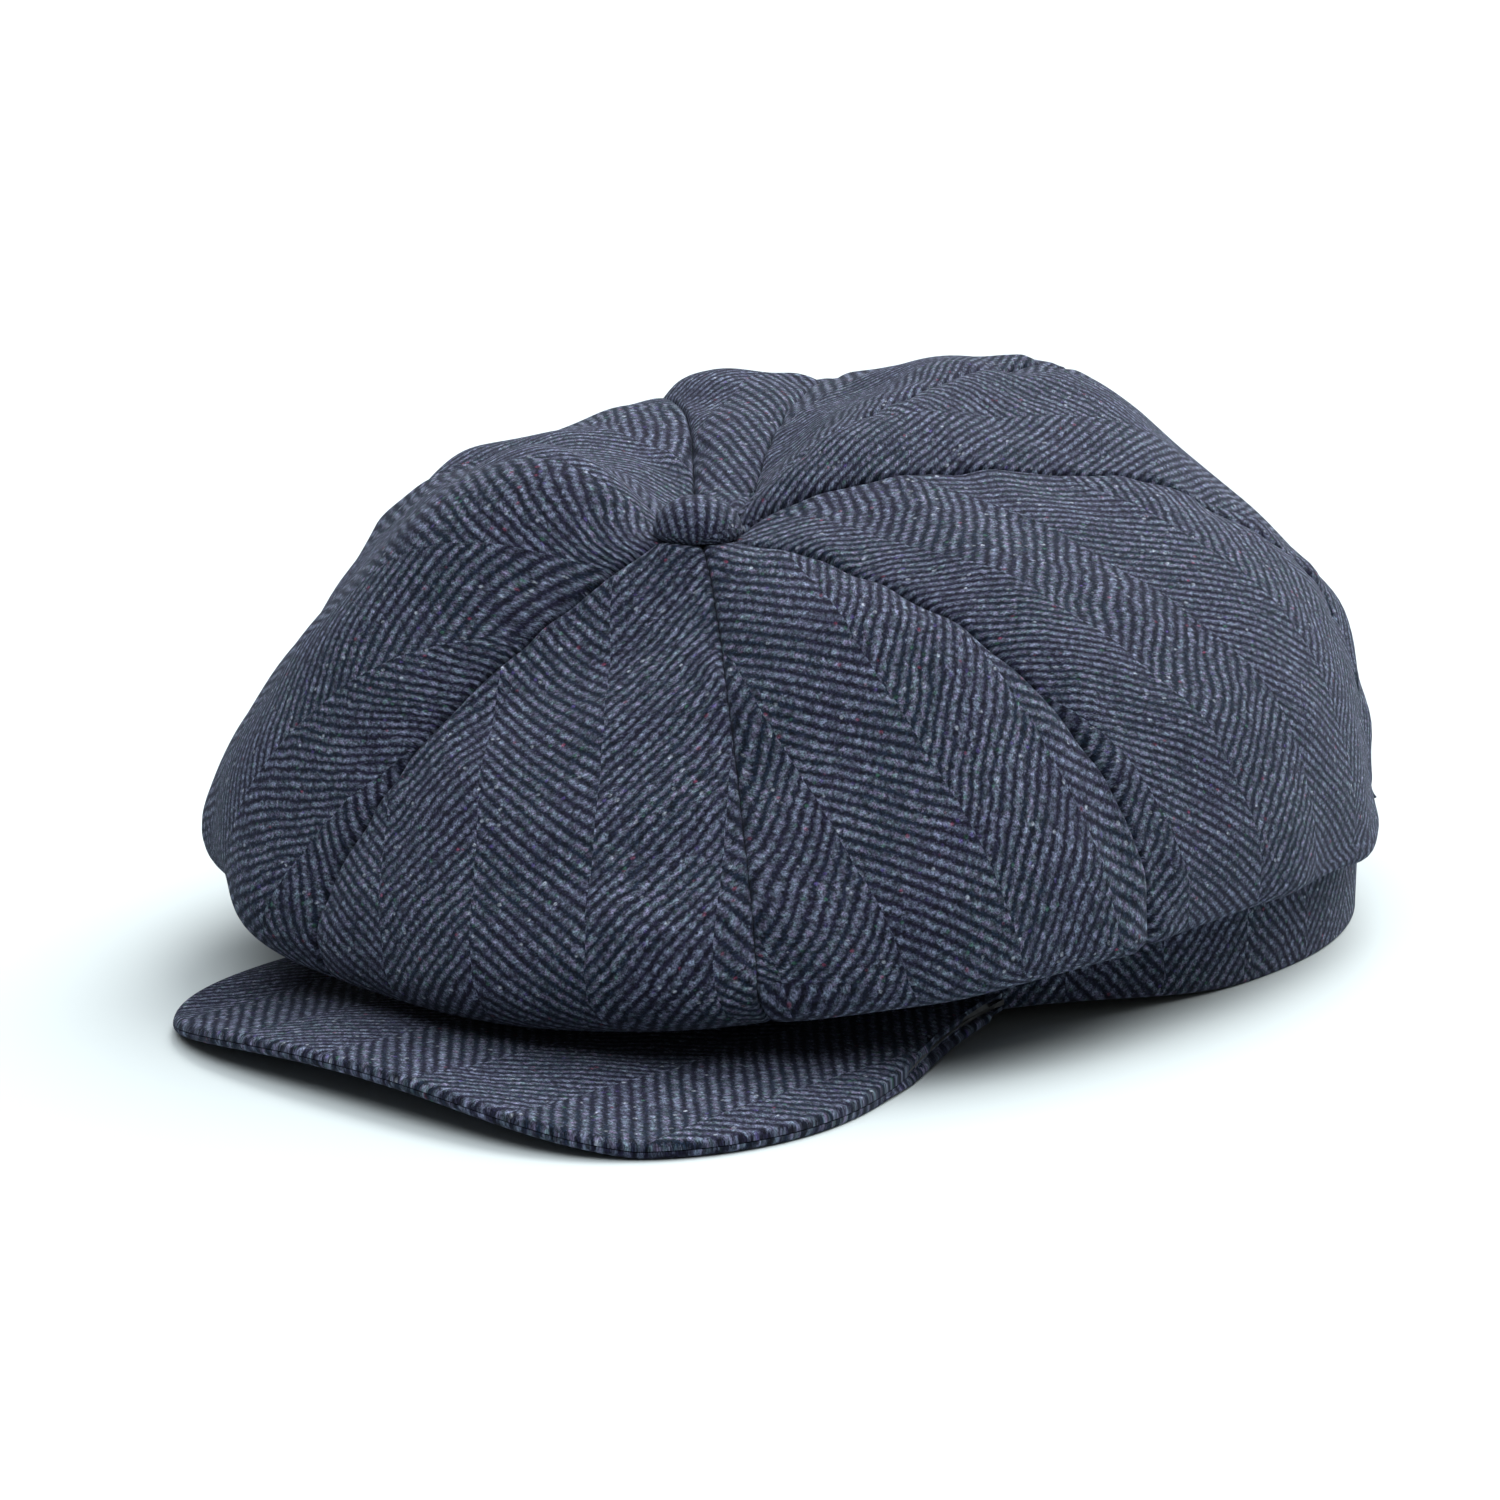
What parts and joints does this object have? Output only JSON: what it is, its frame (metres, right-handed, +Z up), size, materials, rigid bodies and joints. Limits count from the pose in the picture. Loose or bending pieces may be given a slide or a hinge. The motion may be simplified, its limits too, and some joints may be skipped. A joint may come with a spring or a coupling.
{
  "type": "newsboy cap",
  "caption": "Full-crowned soft tweed newsboy cap with sewn crown gores, covered top button, narrow headband and a short covered stiff visor, lying on a flat surface.",
  "frame": {"origin": "middle of the footprint, on the surface the cap lies on", "axes": "+Z up, -Y towards the visor, +X to the wearer's left"},
  "size_m": [0.2254, 0.2924, 0.1195],
  "materials": {
    "tweed": "herringbone wool tweed, navy and grey-blue",
    "lining": "smooth satin lining, near black",
    "sweatband": "ribbed tape, near black",
    "canvas": "woven stiffening tape, hidden",
    "board": "moulded visor board, hidden",
    "label": "blank woven label",
    "steel": "plated steel, hidden under the button's cloth"
  },
  "bodies": {
    "cap": {"crown_panel_front_left": "tweed", "crown_panel_left_front": "tweed", "crown_panel_left_back": "tweed", "crown_panel_back_left": "tweed", "crown_panel_back_right": "tweed", "crown_panel_right_back": "tweed", "crown_panel_right_front": "tweed", "crown_panel_front_right": "tweed", "lining_gore_front_left": "lining", "lining_gore_left_front": "lining", "lining_gore_left_back": "lining", "lining_gore_back_left": "lining", "lining_gore_back_right": "lining", "lining_gore_right_back": "lining", "lining_gore_right_front": "lining", "lining_gore_front_right": "lining", "headband_outer": "tweed", "headband_interlining": "canvas", "sweatband": "sweatband", "care_label": "label", "button_cover": "tweed", "button_shell": "steel", "button_back_plate": "steel", "button_shank": "steel"},
    "visor": {"visor_top_cover": "tweed", "visor_board": "board", "visor_bottom_cover": "tweed"}
  },
  "joints": [
    {"name": "visor_flex", "type": "hinge", "parent": "cap", "child": "visor", "pos_m": [0.01485, -0.01719, 0.017], "axis": [-1, 0, 0], "range_deg": [0, 12], "stiffness_Nm_per_rad": 5, "deforming": ["crown_panel_front_left", "crown_panel_front_right", "crown_panel_left_front"]}
  ]
}
